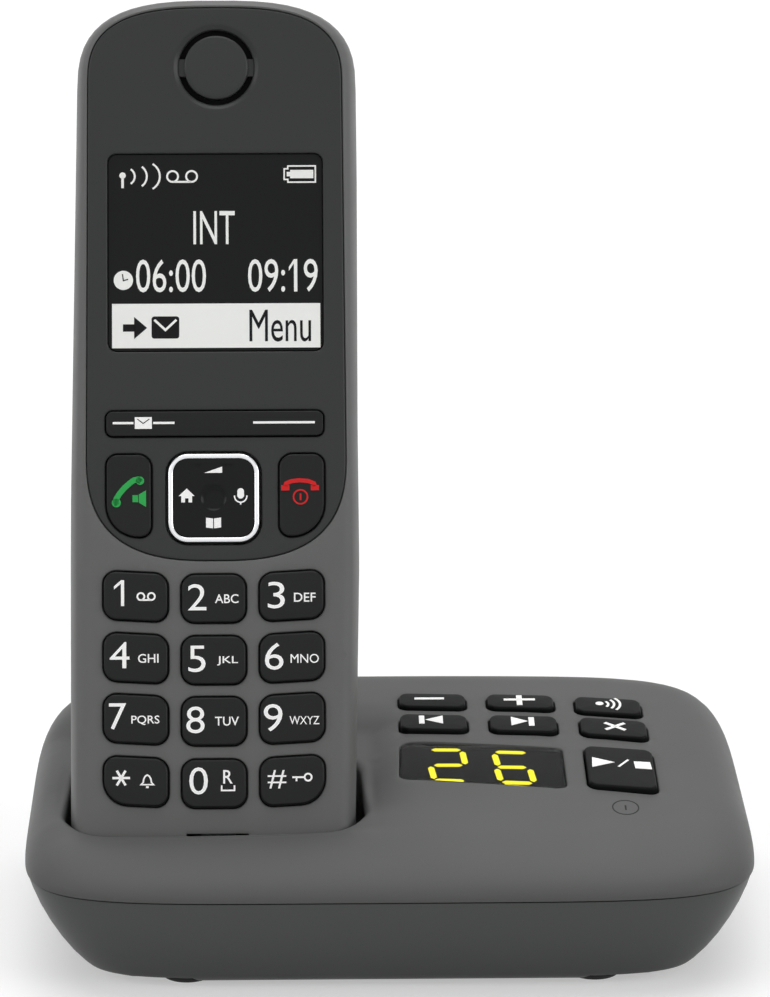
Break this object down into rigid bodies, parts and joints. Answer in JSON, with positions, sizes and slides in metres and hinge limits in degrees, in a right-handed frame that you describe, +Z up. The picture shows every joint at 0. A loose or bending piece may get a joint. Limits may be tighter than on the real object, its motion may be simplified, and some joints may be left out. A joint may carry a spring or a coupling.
{
  "type": "answering machine",
  "caption": "Cordless handset leaning in the cradle of a wide, low answering machine base with message keys and a two digit display.",
  "frame": {"origin": "centre of the base's outline on the floor under its feet", "axes": "+X to the right of a person facing the keys, +Y towards the back, +Z up"},
  "size_m": [0.13, 0.088, 0.1642],
  "materials": {
    "base_top": "fine satin grey plastic",
    "base_bottom": "dark grey plastic",
    "foot_rubber": "black rubber",
    "screw_steel": "plated steel",
    "circuit_board": "green board",
    "speaker_metal": "dark pressed steel",
    "speaker_cone": "black paper cone",
    "display_window": "smoked clear plastic",
    "display_body": "black display block",
    "lit_segment": "lit yellow bars",
    "contact_metal": "plated spring contact",
    "block_plastic": "black plastic",
    "base_key": "near black satin keys",
    "silicone": "grey silicone",
    "socket_plastic": "black plastic",
    "handset_front": "satin grey plastic",
    "handset_back": "satin grey plastic",
    "faceplate": "smooth dark plate",
    "screen_lens": "clear screen over a dark display",
    "screen_module": "display module",
    "earpiece": "dark plastic disc",
    "handset_key": "near black keys with pale marks",
    "nav_metal": "black key with a bright plated frame",
    "battery_wrap": "wrapped cells"
  },
  "bodies": {
    "base": {"base_top_shell": "base_top", "base_bottom_shell": "base_bottom", "rubber_feet": "foot_rubber", "base_screws": "screw_steel", "base_circuit_board": "circuit_board", "board_screws": "screw_steel", "base_speaker_frame": "speaker_metal", "base_speaker_cone": "speaker_cone", "display_window": "display_window", "digit_display": "display_body", "digit_segments": "lit_segment", "contact_block": "block_plastic", "base_key_mat": "silicone", "power_socket": "socket_plastic", "phone_line_socket": "socket_plastic"},
    "handset": {"handset_back_shell": "handset_back", "handset_front_shell": "handset_front", "handset_faceplate": "faceplate", "screen_lens": "screen_lens", "screen_module": "screen_module", "earpiece_cap": "earpiece", "earpiece_receiver": "speaker_metal", "keypad_mat": "silicone", "handset_circuit_board": "circuit_board", "batteries": "battery_wrap", "battery_contacts": "screw_steel", "handset_charging_contacts": "contact_metal", "microphone": "speaker_metal", "handset_speaker": "speaker_metal", "handset_screws": "screw_steel"},
    "volume_down_key": {"volume_down_key": "base_key"},
    "volume_up_key": {"volume_up_key": "base_key"},
    "paging_key": {"paging_key": "base_key"},
    "previous_key": {"previous_key": "base_key"},
    "next_key": {"next_key": "base_key"},
    "delete_key": {"delete_key": "base_key"},
    "play_stop_key": {"play_stop_key": "base_key"},
    "charging_contact_left": {"charging_contact_left": "contact_metal"},
    "charging_contact_right": {"charging_contact_right": "contact_metal"},
    "key_1": {"key_1": "handset_key"},
    "key_2": {"key_2": "handset_key"},
    "key_3": {"key_3": "handset_key"},
    "key_4": {"key_4": "handset_key"},
    "key_5": {"key_5": "handset_key"},
    "key_6": {"key_6": "handset_key"},
    "key_7": {"key_7": "handset_key"},
    "key_8": {"key_8": "handset_key"},
    "key_9": {"key_9": "handset_key"},
    "key_star": {"key_star": "handset_key"},
    "key_0": {"key_0": "handset_key"},
    "key_hash": {"key_hash": "handset_key"},
    "talk_key": {"talk_key": "handset_key"},
    "end_key": {"end_key": "handset_key"},
    "softkey_bar": {"softkey_bar": "handset_key"},
    "nav_pad": {"nav_pad": "silicone"},
    "nav_key": {"nav_key": "nav_metal"},
    "battery_cover": {"battery_cover": "handset_back"}
  },
  "joints": [
    {"name": "handset_lift", "type": "slide", "parent": "base", "child": "handset", "axis": [0, 0.342, 0.9397], "range_m": [0, 0.06]},
    {"name": "volume_down_press", "type": "slide", "parent": "base", "child": "volume_down_key", "axis": [0, 0.1135, -0.9935], "range_m": [0, 0.0007], "stiffness_N_per_m": 400, "springref_m": -0.0004},
    {"name": "volume_up_press", "type": "slide", "parent": "base", "child": "volume_up_key", "axis": [0, 0.1135, -0.9935], "range_m": [0, 0.0007], "stiffness_N_per_m": 400, "springref_m": -0.0004},
    {"name": "paging_press", "type": "slide", "parent": "base", "child": "paging_key", "axis": [0, 0.1135, -0.9935], "range_m": [0, 0.0007], "stiffness_N_per_m": 400, "springref_m": -0.0004},
    {"name": "previous_press", "type": "slide", "parent": "base", "child": "previous_key", "axis": [0, 0.1135, -0.9935], "range_m": [0, 0.0007], "stiffness_N_per_m": 400, "springref_m": -0.0004},
    {"name": "next_press", "type": "slide", "parent": "base", "child": "next_key", "axis": [0, 0.1135, -0.9935], "range_m": [0, 0.0007], "stiffness_N_per_m": 400, "springref_m": -0.0004},
    {"name": "delete_press", "type": "slide", "parent": "base", "child": "delete_key", "axis": [0, 0.1135, -0.9935], "range_m": [0, 0.0007], "stiffness_N_per_m": 400, "springref_m": -0.0004},
    {"name": "play_stop_press", "type": "slide", "parent": "base", "child": "play_stop_key", "axis": [0, 0.1135, -0.9935], "range_m": [0, 0.0007], "stiffness_N_per_m": 400, "springref_m": -0.0004},
    {"name": "charging_contact_left_spring", "type": "slide", "parent": "base", "child": "charging_contact_left", "axis": [0, 0.342, 0.9397], "range_m": [-0.001, 0], "stiffness_N_per_m": 150, "springref_m": 0.0005},
    {"name": "charging_contact_right_spring", "type": "slide", "parent": "base", "child": "charging_contact_right", "axis": [0, 0.342, 0.9397], "range_m": [-0.001, 0], "stiffness_N_per_m": 150, "springref_m": 0.0005},
    {"name": "key_1_press", "type": "slide", "parent": "handset", "child": "key_1", "axis": [0, 0.9397, -0.342], "range_m": [0, 0.0006], "stiffness_N_per_m": 400, "springref_m": -0.0004},
    {"name": "key_2_press", "type": "slide", "parent": "handset", "child": "key_2", "axis": [0, 0.9397, -0.342], "range_m": [0, 0.0006], "stiffness_N_per_m": 400, "springref_m": -0.0004},
    {"name": "key_3_press", "type": "slide", "parent": "handset", "child": "key_3", "axis": [0, 0.9397, -0.342], "range_m": [0, 0.0006], "stiffness_N_per_m": 400, "springref_m": -0.0004},
    {"name": "key_4_press", "type": "slide", "parent": "handset", "child": "key_4", "axis": [0, 0.9397, -0.342], "range_m": [0, 0.0006], "stiffness_N_per_m": 400, "springref_m": -0.0004},
    {"name": "key_5_press", "type": "slide", "parent": "handset", "child": "key_5", "axis": [0, 0.9397, -0.342], "range_m": [0, 0.0006], "stiffness_N_per_m": 400, "springref_m": -0.0004},
    {"name": "key_6_press", "type": "slide", "parent": "handset", "child": "key_6", "axis": [0, 0.9397, -0.342], "range_m": [0, 0.0006], "stiffness_N_per_m": 400, "springref_m": -0.0004},
    {"name": "key_7_press", "type": "slide", "parent": "handset", "child": "key_7", "axis": [0, 0.9397, -0.342], "range_m": [0, 0.0006], "stiffness_N_per_m": 400, "springref_m": -0.0004},
    {"name": "key_8_press", "type": "slide", "parent": "handset", "child": "key_8", "axis": [0, 0.9397, -0.342], "range_m": [0, 0.0006], "stiffness_N_per_m": 400, "springref_m": -0.0004},
    {"name": "key_9_press", "type": "slide", "parent": "handset", "child": "key_9", "axis": [0, 0.9397, -0.342], "range_m": [0, 0.0006], "stiffness_N_per_m": 400, "springref_m": -0.0004},
    {"name": "key_star_press", "type": "slide", "parent": "handset", "child": "key_star", "axis": [0, 0.9397, -0.342], "range_m": [0, 0.0006], "stiffness_N_per_m": 400, "springref_m": -0.0004},
    {"name": "key_0_press", "type": "slide", "parent": "handset", "child": "key_0", "axis": [0, 0.9397, -0.342], "range_m": [0, 0.0006], "stiffness_N_per_m": 400, "springref_m": -0.0004},
    {"name": "key_hash_press", "type": "slide", "parent": "handset", "child": "key_hash", "axis": [0, 0.9397, -0.342], "range_m": [0, 0.0006], "stiffness_N_per_m": 400, "springref_m": -0.0004},
    {"name": "talk_press", "type": "slide", "parent": "handset", "child": "talk_key", "axis": [0, 0.9397, -0.342], "range_m": [0, 0.0006], "stiffness_N_per_m": 400, "springref_m": -0.0004},
    {"name": "end_press", "type": "slide", "parent": "handset", "child": "end_key", "axis": [0, 0.9397, -0.342], "range_m": [0, 0.0006], "stiffness_N_per_m": 400, "springref_m": -0.0004},
    {"name": "softkey_rock", "type": "hinge", "parent": "handset", "child": "softkey_bar", "pos_m": [-0.0305, 0.00269, 0.09176], "axis": [0, 0.342, 0.9397], "range_deg": [-1.5, 1.5], "stiffness_Nm_per_rad": 0.05},
    {"name": "nav_tilt_up_down", "type": "hinge", "parent": "handset", "child": "nav_pad", "pos_m": [-0.0305, -0.00166, 0.07924], "axis": [1, 0, 0], "range_deg": [-2.5, 2.5], "stiffness_Nm_per_rad": 0.05},
    {"name": "nav_tilt_sideways", "type": "hinge", "parent": "nav_pad", "child": "nav_key", "pos_m": [-0.0305, -0.00166, 0.07924], "axis": [0, 0.342, 0.9397], "range_deg": [-2.5, 2.5], "stiffness_Nm_per_rad": 0.05},
    {"name": "battery_cover_lift", "type": "slide", "parent": "handset", "child": "battery_cover", "axis": [0, 0.9397, -0.342], "range_m": [0, 0.012]}
  ]
}
